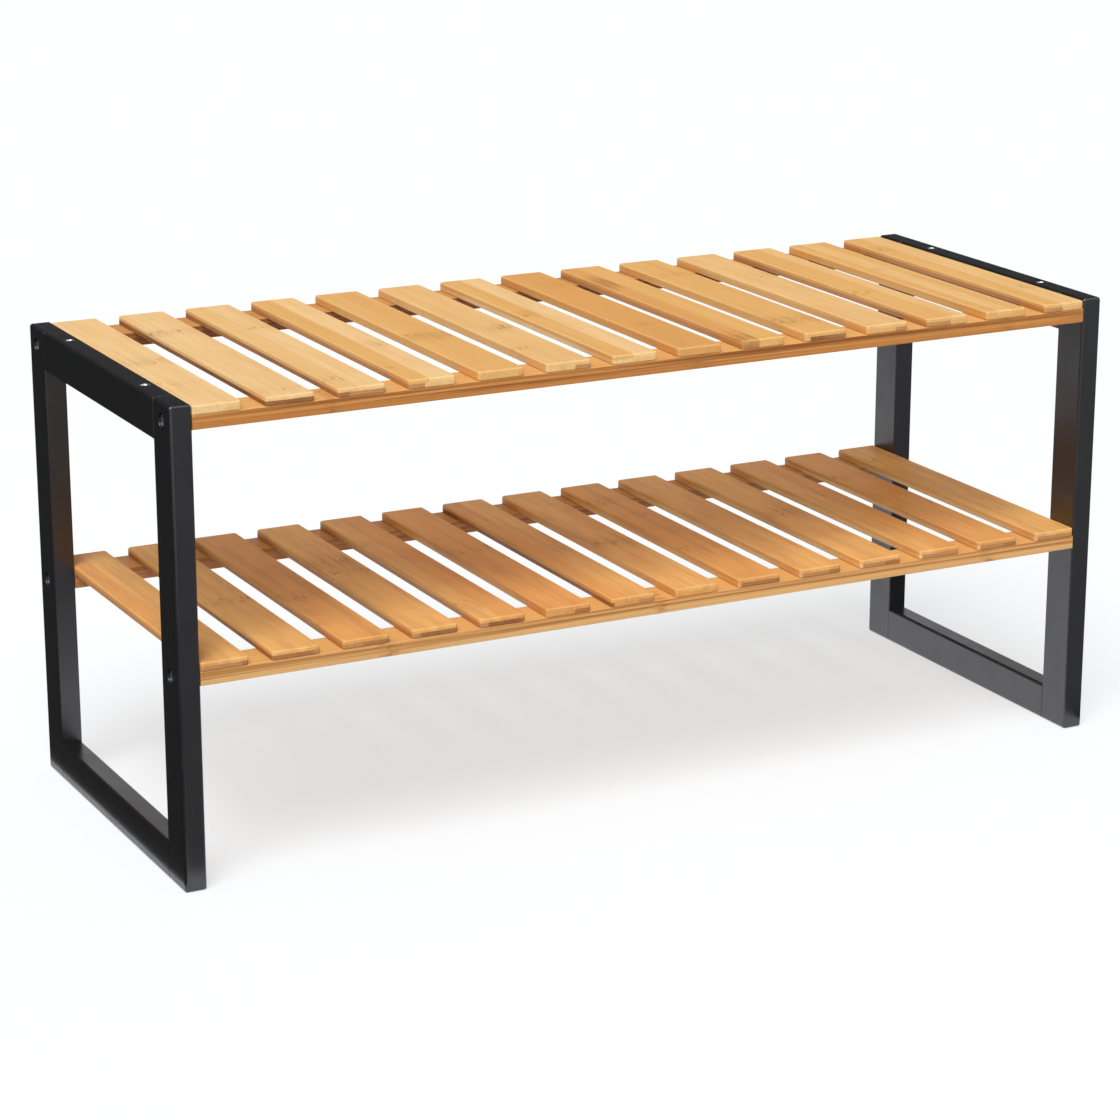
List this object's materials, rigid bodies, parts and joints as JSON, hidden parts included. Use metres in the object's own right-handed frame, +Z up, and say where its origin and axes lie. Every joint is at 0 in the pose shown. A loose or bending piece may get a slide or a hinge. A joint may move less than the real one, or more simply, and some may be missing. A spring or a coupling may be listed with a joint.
{
  "type": "entryway bench",
  "caption": "Low two-tier slatted bench for an entryway: black side frames carry bamboo slat shelves, the upper one to sit on and both to hold shoes.",
  "frame": {"origin": "middle of the footprint, on the floor", "axes": "+X along the length, to the right seen from the front; +Y to the back; +Z up"},
  "size_m": [0.7, 0.266, 0.321],
  "materials": {
    "black_lacquer": "satin black lacquer over bamboo",
    "bamboo_slat": "laminated bamboo, clear satin varnish",
    "bamboo_rail": "laminated bamboo seen on edge, clear satin varnish",
    "beech_dowel": "bare fluted beech, glued",
    "zinc_steel": "bright zinc plating"
  },
  "bodies": {
    "root": {"left_front_post": "black_lacquer", "left_back_post": "black_lacquer", "right_front_post": "black_lacquer", "right_back_post": "black_lacquer", "left_top_rail": "black_lacquer", "left_bottom_rail": "black_lacquer", "right_top_rail": "black_lacquer", "right_bottom_rail": "black_lacquer", "top_slat_01": "bamboo_slat", "top_slat_02": "bamboo_slat", "top_slat_03": "bamboo_slat", "top_slat_04": "bamboo_slat", "top_slat_05": "bamboo_slat", "top_slat_06": "bamboo_slat", "top_slat_07": "bamboo_slat", "top_slat_08": "bamboo_slat", "top_slat_09": "bamboo_slat", "top_slat_10": "bamboo_slat", "top_slat_11": "bamboo_slat", "top_slat_12": "bamboo_slat", "top_slat_13": "bamboo_slat", "top_slat_14": "bamboo_slat", "lower_slat_01": "bamboo_slat", "lower_slat_02": "bamboo_slat", "lower_slat_03": "bamboo_slat", "lower_slat_04": "bamboo_slat", "lower_slat_05": "bamboo_slat", "lower_slat_06": "bamboo_slat", "lower_slat_07": "bamboo_slat", "lower_slat_08": "bamboo_slat", "lower_slat_09": "bamboo_slat", "lower_slat_10": "bamboo_slat", "lower_slat_11": "bamboo_slat", "lower_slat_12": "bamboo_slat", "lower_slat_13": "bamboo_slat", "lower_slat_14": "bamboo_slat", "top_shelf_front_rail": "bamboo_rail", "top_shelf_back_rail": "bamboo_rail", "lower_shelf_front_rail": "bamboo_rail", "lower_shelf_back_rail": "bamboo_rail", "left_frame_dowels": "beech_dowel", "right_frame_dowels": "beech_dowel", "left_stacking_sleeves": "zinc_steel", "right_stacking_sleeves": "zinc_steel", "left_shelf_screws": "zinc_steel", "right_shelf_screws": "zinc_steel", "top_shelf_slat_screws": "zinc_steel", "lower_shelf_slat_screws": "zinc_steel"}
  },
  "joints": []
}
